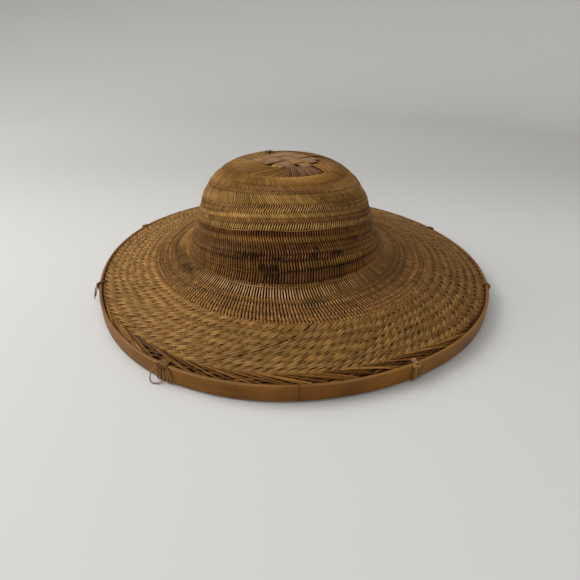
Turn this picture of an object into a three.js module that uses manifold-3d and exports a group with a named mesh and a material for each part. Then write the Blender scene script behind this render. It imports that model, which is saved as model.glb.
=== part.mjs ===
// Rice paddy hat: a woven bamboo crown and brim, edged with a folded border and two bent hoops that
// rattan lashings tie on. Millimetres, +Z up, front towards -Y.
// The origin is on the floor, under the middle of the hat's box.

import * as THREE from "three";
import { mergeVertices } from "three/addons/utils/BufferGeometryUtils.js";
import Module from "manifold-3d";

const wasm = await Module();
wasm.setup();

// Size of the whole hat
const hoopRadius = 200;
const facets = 60;
const gap = 0.3;

// The hat isn't quite true. Its hoops are pressed into soft lobes, each a share of the radius with the
// angle of one of its high places, and the crown sits to the left of their middle.
const hoopCentre = { x: -1.9, y: 0.88 };
const crownShift = { most: -9.3, startRadius: 65, endRadius: 165 };
const lobes = [
  { count: 3, depth: 0.0104, at: 8 },
  { count: 4, depth: 0.0078, at: -29 },
];
const lobeStartRadius = 130;
const lobeEndRadius = 186;

// Woven wall, from the top of the crown to the edge of the brim, along its outside.
// radius and height hold at the sides, lift is how far the front is pushed up,
// and swell is how far the weave bulges between this row and the next.
// Of the lift, the tilt share lowers the back as well, and the rest raises the front and back alike.
const weaveThickness = 1.9;
const weaveRows = [
  { at: "apex", radius: 0, height: 123.5, lift: 0, swell: 0 },
  { at: "splintEdge", radius: 51, height: 119.5, lift: 1.5, swell: 0 },
  { at: "shoulder", radius: 66.5, height: 110.5, lift: 6, swell: 0.5 },
  { at: "highGroove", radius: 76.5, height: 98, lift: 12, swell: 1 },
  { at: "middleGroove", radius: 84, height: 81, lift: 18.5, swell: 1.2 },
  { at: "lowGroove", radius: 90.3, height: 60, lift: 17, swell: 1.2 },
  { at: "footGroove", radius: 97, height: 46, lift: 14, swell: 0.4 },
  { at: "crease", radius: 102, height: 40, lift: 2.5, swell: 0 },
  { at: "lip", radius: 111, height: 36.2, lift: 0, swell: 0.6 },
  { at: "innerBrim", radius: 126, height: 32.4, lift: 0, swell: 0.6 },
  { at: "weaveChange", radius: 141, height: 29, lift: 0, swell: 0.5 },
  { at: "outerBrim", radius: 166, height: 23.6, lift: 0, swell: 0.4 },
  { at: "edge", radius: 187.2, height: 18.2, lift: 0, swell: 0 },
];
const liftTilt = 0.675;
const outsideSteps = 3;
const insideSteps = 1;

// Rings at the rim: each section is a closed list of radius and height.
const hoopBottom = 1.2;
const outerHoop = { thickness: 2.8, top: 15.8 };
const innerHoop = { thickness: 2.4, top: 13.8, clearance: 0.4 };
const border = { innerRadius: 187.5, outerRadius: 194, top: 18.4, bottom: 13 };
// Its section: across is a share of the width from the inner side, up a share of the height.
const borderOutline = [
  { across: 0.15, up: 0.1 },
  { across: 0.6, up: 0 },
  { across: 1, up: 0.1 },
  { across: 1, up: 0.55 },
  { across: 0.75, up: 0.85 },
  { across: 0.4, up: 1 },
  { across: 0.1, up: 0.93 },
  { across: 0, up: 0.75 },
];

// Splints crossed over the top of the crown
const splint = { width: 8.6, thickness: 0.8, length: 66, pitch: 10, count: 6, steps: 4, stagger: 3 };
const splintTurn = Math.PI / 4;
const splintClearance = 0.5;
const splintEndLift = 0.8;
const layerOverlap = 0.1;

// Lashings: angle is counted from +X, in degrees
const lashingAngles = {
  right: -13.7,
  front_right: -61,
  front_left: -118,
  left: -161.6,
  back_left: 156,
  back_middle_left: 113.5,
  back_middle_right: 71,
  back_right: 28.3,
};
const turn = { width: 2.2, thickness: 0.9, pitch: 2.9, count: 3 };
const turnRise = { from: 6, to: 9, lower: 0.6, fall: 0.8 };
const knotHeight = 3.2;

const { smoothstep } = THREE.MathUtils;
const radians = THREE.MathUtils.degToRad;

// Place on the hat of a point that has this radius and height at the sides.
function settle(radius, height, lift, angle) {
  const rim = smoothstep(radius, lobeStartRadius, lobeEndRadius);
  const level = smoothstep(radius, crownShift.startRadius, crownShift.endRadius);
  const pressed = lobes.reduce(
    (sum, lobe) => sum + lobe.depth * Math.cos(lobe.count * (angle - radians(lobe.at))),
    0,
  );
  const reach = radius * (1 + pressed * rim);
  const forward = -Math.sin(angle);
  return new THREE.Vector3(
    hoopCentre.x + crownShift.most * (1 - level) + reach * Math.cos(angle),
    hoopCentre.y + reach * Math.sin(angle),
    height + lift * (liftTilt * forward + (1 - liftTilt) * forward ** 2),
  );
}

// A geometry as one closed surface: shared vertices merged, and the empty faces at a pole dropped.
function closed(geometry) {
  geometry.deleteAttribute("normal");
  geometry.deleteAttribute("uv");
  const merged = mergeVertices(geometry, 1e-4);
  const kept = [];
  for (let i = 0; i < merged.index.count; i += 3) {
    const [a, b, c] = [0, 1, 2].map((k) => merged.index.getX(i + k));
    if (a !== b && b !== c && c !== a) kept.push(a, b, c);
  }
  merged.setIndex(kept);
  return merged;
}

// Ring or dome from a section of { radius, height, lift }, turned about the hat's axis and settled.
// A section off the axis is closed on itself.
function turned(section) {
  const loop = section[0].radius > 0 ? [...section, section[0]] : section;
  const outline = loop.map((p) => new THREE.Vector2(p.radius, p.height));
  const geometry = new THREE.LatheGeometry(outline, facets).rotateX(Math.PI / 2);
  const position = geometry.attributes.position;
  for (let i = 0; i < position.count; i++) {
    const { radius, height, lift = 0 } = loop[i % loop.length];
    const angle = Math.atan2(position.getY(i), position.getX(i));
    position.setXYZ(i, ...settle(radius, height, lift, radius > 0 ? angle : 0));
  }
  return closed(geometry);
}

const weaveCurve = new THREE.CatmullRomCurve3(
  weaveRows.map((row) => new THREE.Vector3(row.radius, row.height, row.lift)),
);

// Point of the woven wall at a row number with a fraction, moved out of the wall by offset.
function weavePoint(row, offset) {
  const t = row / (weaveRows.length - 1);
  const { x, y, z } = weaveCurve.getPoint(t);
  const along = weaveCurve.getTangent(t);
  const onAxis = row === 0;
  const size = Math.hypot(along.x, along.y);
  return {
    radius: onAxis ? 0 : x - (offset * along.y) / size,
    height: y + (onAxis ? offset : (offset * along.x) / size),
    lift: z,
  };
}

const rowNumber = (at) => weaveRows.findIndex((row) => row.at === at);

// Section of the woven wall between two rows, with half a gap left at each end that has a neighbour.
function weaveSection(from, to) {
  const first = rowNumber(from);
  const last = rowNumber(to);
  const outside = [];
  const inside = [];
  const trim = (row) => {
    const near = weaveRows[Math.min(row, weaveRows.length - 2)];
    const next = weaveRows[Math.min(row, weaveRows.length - 2) + 1];
    return gap / 2 / Math.hypot(next.radius - near.radius, next.height - near.height);
  };
  const start = first === 0 ? 0 : first + trim(first);
  const end = last - trim(last);
  for (let row = first; row < last; row++) {
    for (let step = 0; step < outsideSteps; step++) {
      const share = step / outsideSteps;
      const swell = weaveRows[row].swell * Math.sin(Math.PI * share);
      outside.push(weavePoint(Math.max(row + share, start), swell));
    }
    for (let step = 0; step < insideSteps; step++) {
      inside.push(weavePoint(Math.max(row + step / insideSteps, start), -weaveThickness));
    }
  }
  outside.push(weavePoint(end, 0));
  inside.push(weavePoint(end, -weaveThickness));
  return [...inside, ...outside.reverse()];
}

// Manifold solids, for cuts and joins
function solidOf(geometry) {
  const whole = closed(geometry);
  return new wasm.Manifold(
    new wasm.Mesh({
      numProp: 3,
      vertProperties: new Float32Array(whole.attributes.position.array),
      triVerts: new Uint32Array(whole.index.array),
    }),
  );
}

function geometryOf(solid) {
  const { vertProperties, triVerts } = solid.getMesh();
  return new THREE.BufferGeometry()
    .setAttribute("position", new THREE.BufferAttribute(vertProperties, 3))
    .setIndex(new THREE.BufferAttribute(triVerts, 1));
}

const joined = (solids) => solids.reduce((all, next) => all.add(next));

// Flat band bent round the hat, such as a hoop
function hoopSection(outerRadius, thickness, top) {
  return [
    { radius: outerRadius - thickness, height: hoopBottom },
    { radius: outerRadius, height: hoopBottom },
    { radius: outerRadius, height: top },
    { radius: outerRadius - thickness, height: top },
  ];
}

// Border of folded strands: a low rounded roll, highest near its inner side
function borderSection() {
  return borderOutline.map(({ across, up }) => ({
    radius: THREE.MathUtils.lerp(border.innerRadius, border.outerRadius, across),
    height: THREE.MathUtils.lerp(border.bottom, border.top, up),
  }));
}

// Matrix of a frame on the hoop's outer face: x points out of the hoop, y along it and z up.
function hoopFrame(degrees) {
  const angle = radians(degrees);
  const onHoop = (step) => settle(hoopRadius, 0, 0, angle + step);
  const along = onHoop(0.01).sub(onHoop(-0.01)).normalize();
  const up = new THREE.Vector3(0, 0, 1);
  const out = along.clone().cross(up);
  return new THREE.Matrix4().makeBasis(out, along, up).setPosition(onHoop(0));
}

// One turn of a lashing: a loop round the hoops and the border, in the frame of hoopFrame
const lashingInside = border.innerRadius - hoopRadius - 2 * gap;
const lashingTop = border.top + 2 * gap;
function turnShape() {
  const outline = (grow) => [
    [gap + grow, hoopBottom - gap - grow],
    [gap + grow, outerHoop.top + gap + grow / 2],
    [-turnRise.from, lashingTop - turnRise.lower + grow],
    [-turnRise.to, lashingTop + grow],
    [lashingInside - grow, lashingTop - turnRise.fall + grow],
    [lashingInside - grow, hoopBottom - gap - grow],
  ];
  const points = (grow) => outline(grow).map(([x, z]) => new THREE.Vector2(x, z));
  const shape = new THREE.Shape(points(turn.thickness));
  shape.holes.push(new THREE.Path(points(0)));
  return shape;
}

// Lashing: turns side by side, held by a knot over the outer hoop's top edge
function lashingSolid() {
  const solids = [];
  for (let i = 0; i < turn.count; i++) {
    const y = (i - (turn.count - 1) / 2) * turn.pitch;
    const loop = new THREE.ExtrudeGeometry(turnShape(), { depth: turn.width, bevelEnabled: false })
      .rotateX(Math.PI / 2)
      .translate(0, y + turn.width / 2, 0);
    solids.push(solidOf(loop));
  }
  const knotWidth = (turn.count - 1) * turn.pitch;
  const knot = new THREE.BoxGeometry(turn.thickness, knotWidth, knotHeight);
  knot.translate(gap + turn.thickness, 0, outerHoop.top - knotHeight / 2);
  return joined([...solids, solidOf(knot)]);
}

// Slots in the woven edge that the lashings pass through
function cutForLashings(brim) {
  const length = turn.count * turn.pitch + 2 * gap;
  const depth = turn.thickness + 2 * gap;
  const height = 4 * weaveThickness;
  return Object.values(lashingAngles).reduce((rest, degrees) => {
    const slot = new THREE.BoxGeometry(2 * depth, length, height);
    slot.translate(lashingInside - turn.thickness - gap + depth, 0, border.top - 1);
    slot.applyMatrix4(hoopFrame(degrees));
    return rest.subtract(solidOf(slot));
  }, solidOf(brim));
}

// Height of the crown's outside over a point near its top, seen from above
const topSteps = 5;
function crownHeight(x, y) {
  const radius = Math.hypot(x, y);
  const rows = Array.from({ length: topSteps + 1 }, (_, i) => weavePoint(i / topSteps, 0));
  const above = Math.max(1, rows.findIndex((row) => row.radius >= radius));
  const [near, far] = [rows[above - 1], rows[above]];
  const share = (radius - near.radius) / (far.radius - near.radius);
  const height = THREE.MathUtils.lerp(near.height, far.height, share);
  const lift = THREE.MathUtils.lerp(near.lift, far.lift, share);
  return settle(radius, height, lift, Math.atan2(y, x)).z;
}

const crownCentreX = hoopCentre.x + crownShift.most;

// Splints laid one way over the crown's top, each in the next place to the side
function splintLayer(turnAngle, level) {
  const solids = [];
  for (let i = 0; i < splint.count; i++) {
    const side = (i - (splint.count - 1) / 2) * splint.pitch;
    const length = splint.length - splint.stagger * ((i * 2) % 3);
    const strip = new THREE.BoxGeometry(length, splint.width, splint.thickness, splint.steps, 1, 1);
    strip.translate(0, side, 0);
    strip.rotateZ(turnAngle);
    const position = strip.attributes.position;
    for (let k = 0; k < position.count; k++) {
      const [x, y, z] = [position.getX(k), position.getY(k), position.getZ(k)];
      const endLift = splintEndLift * (Math.hypot(x, y) / (splint.length / 2)) ** 4;
      const top = crownHeight(x, y) + splintClearance + level + Math.min(endLift, splintEndLift);
      position.setXYZ(k, x + crownCentreX, y + hoopCentre.y, top + z + splint.thickness / 2);
    }
    solids.push(solidOf(strip));
  }
  return solids;
}

// Materials
function material(color, roughness) {
  return new THREE.MeshStandardMaterial({ color, roughness, metalness: 0 });
}
const crownWeave = material(0x7a5a2c, 0.6);
const brimWeave = material(0x94703a, 0.6);
const foldedStrands = material(0x7d5a2e, 0.6);
const bentBamboo = material(0x80592a, 0.45);
const stainedBamboo = material(0x5f3d20, 0.5);
const broadSplints = material(0x8f7148, 0.6);
const rattanSkin = material(0x6b4a2a, 0.55);

const hat = new THREE.Group();

function addPiece(name, geometry, pieceMaterial) {
  const mesh = new THREE.Mesh(geometry, pieceMaterial);
  mesh.name = name;
  hat.add(mesh);
  return mesh;
}

addPiece("crown", turned(weaveSection("apex", "crease")), crownWeave);
addPiece("inner_brim", turned(weaveSection("crease", "weaveChange")), crownWeave);
const outerBrim = turned(weaveSection("weaveChange", "edge"));
addPiece("outer_brim", geometryOf(cutForLashings(outerBrim)), brimWeave);
addPiece("edge_border", turned(borderSection()), foldedStrands);
addPiece("outer_hoop", turned(hoopSection(hoopRadius, outerHoop.thickness, outerHoop.top)), bentBamboo);
const innerHoopRadius = hoopRadius - outerHoop.thickness - innerHoop.clearance;
const innerHoopSection = hoopSection(innerHoopRadius, innerHoop.thickness, innerHoop.top);
addPiece("inner_hoop", turned(innerHoopSection), stainedBamboo);

const lowerSplints = splintLayer(splintTurn, 0);
const upperSplints = splintLayer(-splintTurn, splint.thickness - layerOverlap);
addPiece("top_splints", geometryOf(joined([...lowerSplints, ...upperSplints])), broadSplints);

for (const [place, degrees] of Object.entries(lashingAngles)) {
  const lashing = addPiece("lashing_" + place, geometryOf(lashingSolid()), rattanSkin);
  lashing.applyMatrix4(hoopFrame(degrees));
}

export default hat;
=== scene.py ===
# Rice paddy hat in woven bamboo: the looks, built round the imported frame.
# Blender units are metres. Numbers in the settings are millimetres and degrees unless a note says so.

import math

import bpy
import numpy as np
from mathutils import Matrix, Vector


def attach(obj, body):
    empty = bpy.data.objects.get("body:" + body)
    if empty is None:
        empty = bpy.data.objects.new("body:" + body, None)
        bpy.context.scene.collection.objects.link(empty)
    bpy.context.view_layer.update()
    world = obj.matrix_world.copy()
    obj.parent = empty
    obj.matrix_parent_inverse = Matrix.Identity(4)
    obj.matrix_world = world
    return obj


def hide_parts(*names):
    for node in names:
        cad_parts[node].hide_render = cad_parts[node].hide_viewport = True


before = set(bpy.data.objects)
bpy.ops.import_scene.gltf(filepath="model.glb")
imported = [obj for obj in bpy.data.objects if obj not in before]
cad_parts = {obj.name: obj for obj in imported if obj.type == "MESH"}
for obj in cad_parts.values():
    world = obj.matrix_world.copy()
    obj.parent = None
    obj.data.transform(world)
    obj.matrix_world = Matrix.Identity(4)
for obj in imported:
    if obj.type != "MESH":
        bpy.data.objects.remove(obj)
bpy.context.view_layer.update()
mm = 0.001

# Camera, fitted to the rim, the crown and the back edge of the brim
view = {"place": (-0.0035, -0.43752, 0.2378), "pitch": 30.83, "roll": 1.25, "lens": 27.931}


def placeCamera(settings):
    pitch = math.radians(settings["pitch"])
    roll = math.radians(settings["roll"])
    right = Vector((1, 0, 0))
    forward = Vector((0, math.cos(pitch), -math.sin(pitch)))
    up = right.cross(forward)
    turnedRight = right * math.cos(roll) + up * math.sin(roll)
    turnedUp = up * math.cos(roll) - right * math.sin(roll)
    bpy.ops.object.camera_add()
    camera = bpy.context.object
    camera.name = "camera"
    camera.data.lens = settings["lens"]
    camera.data.sensor_width = 36
    axes = Matrix((turnedRight, turnedUp, -forward)).transposed()
    camera.matrix_world = Matrix.Translation(settings["place"]) @ axes.to_4x4()
    bpy.context.scene.camera = camera


# Colour and nodes
def linearOf(hexColour):
    value = hexColour.lstrip("#")
    parts = [int(value[i : i + 2], 16) / 255 for i in (0, 2, 4)]
    return tuple(c / 12.92 if c <= 0.04045 else ((c + 0.055) / 1.055) ** 2.4 for c in parts)


def shadesOf(hexColours):
    return np.array([linearOf(colour) for colour in hexColours])


# An input is a value, or an output to link to it. A node stands for its first output.
def addNode(tree, kind, inputs=None, stops=(), **settings):
    made = tree.nodes.new("ShaderNode" + kind)
    for name, value in settings.items():
        setattr(made, name, value)
    for socket, value in (inputs or {}).items():
        if isinstance(value, bpy.types.Node):
            value = value.outputs[0]
        if isinstance(value, bpy.types.NodeSocket):
            tree.links.new(value, made.inputs[socket])
        else:
            made.inputs[socket].default_value = value
    for i, (place, colour) in enumerate(stops):
        ramp = made.color_ramp.elements
        point = ramp[i] if i < 2 else ramp.new(place)
        point.position = place
        point.color = (*linearOf(colour), 1)
    return made


def newMaterial(name):
    material = bpy.data.materials.new(name)
    material.use_nodes = True
    material.node_tree.nodes.clear()
    return material, material.node_tree


def finishMaterial(tree, inputs):
    shader = addNode(tree, "BsdfPrincipled", inputs)
    addNode(tree, "OutputMaterial", {"Surface": shader})


smooth = {"interpolation_type": "SMOOTHSTEP"}
noiseSpan = {1: 0.3, 2: 0.7}  # a noise texture seldom goes beyond these values


# Ribs and rows in relief, for the inside of the weave. The grain map counts ribs across and millimetres
# along, and the rows are 4.8 mm apart.
def drawRibs(tree, grain):
    split = addNode(tree, "SeparateXYZ", {0: grain})
    heights = []
    for axis, half, low, high in (("Y", 0.5, 0.05, 0.3), ("X", 2.4, 0.1, 0.9)):
        away = addNode(tree, "Math", {0: split.outputs[axis], 1: half}, operation="PINGPONG")
        heights.append(addNode(tree, "MapRange", {0: away, 1: low, 2: high}, **smooth))
    return addNode(tree, "Math", {0: heights[0], 1: heights[1]}, operation="MULTIPLY")


# Split bamboo strand, scraped and woven: silky along the fibres, browner where hands and smoke reached it.
# Colour comes from the patina painted on the strands, fibres and grime from noise along each strand.
def strandMaterial(
    name, fibreContrast=0.3, roughness=0.5, bumpDepth=0.12, sheen=0.1, fineness=2.4, ribbed=False
):
    material, tree = newMaterial(name)
    grain = addNode(tree, "UVMap", uv_map="grain")
    # Fibres are 0.1 to 0.3 mm wide, drawn at 0.4 mm so that they show, and they run for 10 mm or more.
    stretched = addNode(tree, "Mapping", {"Vector": grain, "Scale": (0.09, fineness, 1)})
    fibres = addNode(tree, "TexNoise", {"Vector": stretched, "Scale": 1, "Detail": 3, "Roughness": 0.6})
    place = addNode(tree, "TexCoord").outputs["Object"]
    blotches = addNode(tree, "TexNoise", {"Vector": place, "Scale": 55, "Detail": 4, "Roughness": 0.65})
    patina = addNode(tree, "Attribute", attribute_name="patina")
    paler, darker = 1 + fibreContrast, 1 - fibreContrast
    fibreShade = addNode(tree, "MapRange", {0: fibres, **noiseSpan, 3: darker, 4: paler})
    blotchShade = addNode(tree, "MapRange", {0: blotches, **noiseSpan, 3: 0.86, 4: 1.12})
    shade = addNode(tree, "Math", {0: fibreShade, 1: blotchShade}, operation="MULTIPLY")
    height = fibres
    if ribbed:
        height = drawRibs(tree, grain)
        # Painted shade in the grooves between the ribs and between the rows
        grooveShade = addNode(tree, "MapRange", {0: height, 3: 0.35, 4: 1.1})
        shade = addNode(tree, "Math", {0: shade, 1: grooveShade}, operation="MULTIPLY")
    colour = addNode(tree, "VectorMath", {0: patina.outputs["Color"], "Scale": shade}, operation="SCALE")
    gloss = addNode(tree, "MapRange", {0: blotches, **noiseSpan, 3: roughness + 0.1, 4: roughness - 0.08})
    bump = addNode(tree, "Bump", {"Height": height, "Distance": bumpDepth * mm, "Strength": 0.6})
    look = {"Base Color": colour, "Roughness": gloss, "Normal": bump}
    finishMaterial(tree, {**look, "IOR": 1.5, "Specular IOR Level": sheen})
    return material


# The hat's shape: the same rows, lift, shift and lobes as the solids have.
# Each row is radius, height, lift of the front, and swell up to the next row.
weaveShape = {
    "rows": [
        (0, 123.5, 0, 0),
        (51, 119.5, 1.5, 0),
        (66.5, 110.5, 6, 0.5),
        (76.5, 98, 12, 1),
        (84, 81, 18.5, 1.2),
        (90.3, 60, 17, 1.2),
        (97, 46, 14, 0.4),
        (102, 40, 2.5, 0),
        (111, 36.2, 0, 0.6),
        (126, 32.4, 0, 0.6),
        (141, 29, 0, 0.5),
        (166, 23.6, 0, 0.4),
        (187.2, 18.2, 0, 0),
    ],
    "centre": (-1.9, 0.88),
    "crownShift": -9.3,
    "shiftFrom": 65,
    "shiftTo": 165,
    "lobes": [(3, 0.0104, 8), (4, 0.0078, -29)],  # count, depth, angle of a high place
    "lobesFrom": 130,
    "lobesTo": 186,
    "tilt": 0.675,
    "samples": 2400,
    "runOn": 10,
    "runOnRise": 2.25,
}


def smoothStep(value, low, high):
    share = np.clip((value - low) / (high - low), 0, 1)
    return share * share * (3 - 2 * share)


def settle(radius, height, lift, angle):
    rim = smoothStep(radius, weaveShape["lobesFrom"], weaveShape["lobesTo"])
    level = smoothStep(radius, weaveShape["shiftFrom"], weaveShape["shiftTo"])
    pressed = sum(d * np.cos(n * (angle - math.radians(a))) for n, d, a in weaveShape["lobes"])
    reach = radius * (1 + pressed * rim)
    forward = -np.sin(angle)
    x = weaveShape["centre"][0] + weaveShape["crownShift"] * (1 - level) + reach * np.cos(angle)
    y = weaveShape["centre"][1] + reach * np.sin(angle)
    tilt = weaveShape["tilt"]
    z = height + lift * (tilt * forward + (1 - tilt) * forward**2)
    return np.stack([x, y, z], -1) * mm


# The curve through the rows, smoothed as the solids' own curve is
def curvePoint(points, share):
    spans = len(points) - 1
    i = min(int(spans * share), spans - 1)
    w = spans * share - i
    p1, p2 = points[i], points[i + 1]
    p0 = points[i - 1] if i > 0 else 2 * p1 - p2
    p3 = points[i + 2] if i + 2 <= spans else 2 * p2 - p1
    d0, d1, d2 = (max(np.sum((b - a) ** 2) ** 0.25, 1e-4) for a, b in ((p0, p1), (p1, p2), (p2, p3)))
    t1 = ((p1 - p0) / d0 - (p2 - p0) / (d0 + d1) + (p2 - p1) / d1) * d1
    t2 = ((p2 - p1) / d1 - (p3 - p1) / (d1 + d2) + (p3 - p2) / d2) * d1
    return p1 + t1 * w + (2 * t1 * -1 - t2 + 3 * (p2 - p1)) * w**2 + (2 * (p1 - p2) + t1 + t2) * w**3


def traceWall(shape):
    rows = np.array(shape["rows"], float)
    shares = np.linspace(0, 1, shape["samples"] + 1)
    line = np.array([curvePoint(rows[:, :3], s) for s in shares])
    along = np.concatenate([[0], np.cumsum(np.hypot(np.diff(line[:, 0]), np.diff(line[:, 1])))])
    slopeR = np.gradient(line[:, 0], along)
    slopeH = np.gradient(line[:, 1], along)
    row = np.minimum((shares * (len(rows) - 1)).astype(int), len(rows) - 2)
    swell = rows[row, 3] * np.sin(math.pi * (shares * (len(rows) - 1) - row))
    traced = {
        "along": along,
        "radius": line[:, 0],
        "height": line[:, 1],
        "lift": line[:, 2],
        "outR": -slopeH,
        "outH": slopeR,
        "swell": swell,
    }
    # The edge goes on past the last row, for strands that run on to the border.
    more = shape["runOn"]
    ahead = {"along": more, "radius": more * slopeR[-1], "height": more * slopeH[-1] + shape["runOnRise"]}
    return {name: np.append(v, v[-1] + ahead.get(name, 0)) for name, v in traced.items()}


wall = traceWall(weaveShape)


def wallValue(name, along):
    return np.interp(along, wall["along"], wall[name])


# Place on the hat: angle round it, millimetres along the weave from the crown's middle, and out of the weave
def onHat(angle, along, out):
    rise = out + wallValue("swell", along)
    radius = np.maximum(wallValue("radius", along) + rise * wallValue("outR", along), 0)
    height = wallValue("height", along) + rise * wallValue("outH", along)
    return settle(radius, height, wallValue("lift", along), angle)


# The rows of the weave lie lower at the left and climb towards the right: millimetres along, at places along.
rowDrift = {
    "at": [40, 60, 100, 125, 150, 170, 190],
    "left": [0, 1, 3, 1.2, 1.2, 2, 0],
    "right": [0, 1, 4, 2.8, 3, 3.4, 0],
}


def drifted(angle, along):
    turn = np.cos(angle)
    left = np.interp(along, rowDrift["at"], rowDrift["left"]) * np.minimum(turn, 0)
    right = np.interp(along, rowDrift["at"], rowDrift["right"]) * np.maximum(turn, 0)
    return along - left - right


# Long streaks round the hat, where one batch of strands is paler or redder than the next
streaks = {"seed": 7, "waves": 16, "turns": 9, "shortest": 6, "longest": 26}


def streakWaves(angle, along, seed):
    rng = np.random.default_rng(seed)
    total = np.zeros(len(angle))
    for _ in range(streaks["waves"]):
        turns = rng.integers(1, streaks["turns"])
        length = rng.uniform(streaks["shortest"], streaks["longest"])
        total += np.sin(angle * turns + along * 2 * math.pi / length + rng.uniform(0, 2 * math.pi))
    return total / math.sqrt(streaks["waves"] / 2)


def streaked(colours, angle, along, light=0.09, warm=0.018):
    tone = np.exp(light * streakWaves(angle, along, streaks["seed"]))[:, None]
    red = warm * streakWaves(angle, along, streaks["seed"] + 1)[:, None]
    return colours * tone * np.concatenate([1 + red, 1 - red * 0.6, 1 - red * 1.5], 1)


# Painted shade: the front and the right of the brim are darker than the left, as the light comes from the
# left.
def paintedSideShade(angle):
    turn = (np.degrees(angle) + 150 + 180) % 360 - 180
    paintedLightAndWear = np.where(turn > 0, smoothStep(turn, 15, 58), 1 - smoothStep(turn, -180, -110))
    return 1 - 0.21 * paintedLightAndWear


# Mesh helpers
def clearSelection():
    if bpy.context.object and bpy.context.object.mode != "OBJECT":
        bpy.ops.object.mode_set(mode="OBJECT")
    bpy.ops.object.select_all(action="DESELECT")


# Selects these pieces and no others, with the first one active
def pick(*pieces):
    clearSelection()
    for piece in pieces:
        piece.select_set(True)
    bpy.context.view_layer.objects.active = pieces[0]


def editAll():
    bpy.ops.object.mode_set(mode="EDIT")
    bpy.ops.mesh.select_all(action="SELECT")


# Gives the active piece its name
def called(name):
    piece = bpy.context.object
    piece.name = name
    piece.data.name = name
    return piece


def points(piece):
    values = np.empty(len(piece.data.vertices) * 3)
    piece.data.vertices.foreach_get("co", values)
    return values.reshape(-1, 3)


def movePoints(piece, places):
    piece.data.vertices.foreach_set("co", places.ravel())
    piece.data.update()


def applyModifier(piece, kind, **settings):
    modifier = piece.modifiers.new(kind.title(), kind)
    for name, value in settings.items():
        setattr(modifier, name, value)
    bpy.context.view_layer.objects.active = piece
    bpy.ops.object.modifier_apply(modifier=modifier.name)


def tidyMesh(piece, merge=0.0):
    pick(piece)
    editAll()
    if merge:
        bpy.ops.mesh.remove_doubles(threshold=merge)
    bpy.ops.mesh.normals_make_consistent(inside=False)
    bpy.ops.object.mode_set(mode="OBJECT")


# Stretches a flat section, stands it upright away from the middle, rounds its corners and spins it round
def spinSection(size, away, height, steps, edge=0):
    editAll()
    bpy.ops.transform.resize(value=(*size, 1))
    bpy.ops.transform.rotate(value=-math.pi / 2, orient_axis="X", center_override=(0, 0, 0))
    bpy.ops.transform.translate(value=(away, 0, height))
    if edge:
        bpy.ops.mesh.bevel(offset=edge, segments=2, affect="VERTICES")
        bpy.ops.mesh.delete(type="ONLY_FACE")
        bpy.ops.mesh.select_all(action="SELECT")
    bpy.ops.mesh.spin(steps=steps, angle=2 * math.pi, center=(0, 0, 0), axis=(0, 0, 1))
    bpy.ops.object.mode_set(mode="OBJECT")


def paint(piece, colours):
    layer = piece.data.color_attributes.get("patina")
    layer = layer or piece.data.color_attributes.new("patina", "FLOAT_COLOR", "POINT")
    full = np.ones((len(colours), 4), np.float32)
    full[:, :3] = colours
    layer.data.foreach_set("color", full.ravel())


def mapGrain(piece, lengthwise, crosswise):
    layer = piece.data.uv_layers.new(name="grain")
    corner = np.empty(len(piece.data.loops), int)
    piece.data.loops.foreach_get("vertex_index", corner)
    layer.data.foreach_set("uv", np.stack([lengthwise[corner], crosswise[corner]], -1).ravel())


def finishPiece(piece, material, slot, *replaced):
    piece.data.materials.clear()
    piece.data.materials.append(material)
    pick(piece)
    bpy.ops.object.shade_smooth()
    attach(piece, "root")
    if replaced:
        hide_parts(*replaced)
    print(piece.name, len(piece.data.polygons), "faces")


# How far a place is towards the sides: 0 at the front, 1 at the sides, less at the back
def sideShare(angle, low=30, high=62):
    turn = np.abs((np.degrees(angle) + 92 + 180) % 360 - 180)
    return smoothStep(turn, low, high) * (1 - 0.6 * smoothStep(turn, 110, 150))


# The weave's edge sags a little at the sides, where it reaches nearest to the hoops.
def edgeSag(angle, along):
    return 1.1 * np.clip((along - 230) / 14, 0, 1) * sideShare(angle)


# Straight strands side by side in the flat: X is the strand's number, Y its length from 0 to 1.
# Across and up run from -0.5 to 0.5. The strands are bent on to the hat afterwards.
sectionRadius = 0.4


def flatStrands(name, count, sides, steps):
    clearSelection()
    bpy.ops.mesh.primitive_circle_add(vertices=sides, radius=sectionRadius, fill_type="NGON")
    strand = called(name)
    editAll()
    bpy.ops.transform.rotate(value=math.pi / 2, orient_axis="X", center_override=(0, 0, 0))
    bpy.ops.mesh.extrude_region_move(TRANSFORM_OT_translate={"value": (0, 1, 0)})
    bpy.ops.mesh.select_all(action="DESELECT")
    bpy.ops.mesh.select_mode(type="EDGE")
    bpy.ops.object.mode_set(mode="OBJECT")
    for edge in strand.data.edges:
        a, b = (strand.data.vertices[k].co for k in edge.vertices)
        edge.select = abs(a.y - b.y) > 0.5
    bpy.ops.object.mode_set(mode="EDIT")
    bpy.ops.mesh.subdivide(number_cuts=steps - 1)
    bpy.ops.mesh.select_all(action="SELECT")
    bpy.ops.mesh.normals_make_consistent(inside=False)
    bpy.ops.object.mode_set(mode="OBJECT")
    apart = {"use_relative_offset": False, "use_constant_offset": True}
    applyModifier(strand, "ARRAY", count=count, constant_offset_displace=(1, 0, 0), **apart)
    x, y, z = points(strand).T
    number = np.round(x).astype(int)
    across, up = (x - number) / (2 * sectionRadius), z / (2 * sectionRadius)
    return strand, {"number": number, "across": across, "share": np.abs(y), "up": up}


# Place on the rim, where the second measure is the radius and the third the height
def onRim(angle, radius, height):
    return settle(radius, height, 0, angle)


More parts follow.
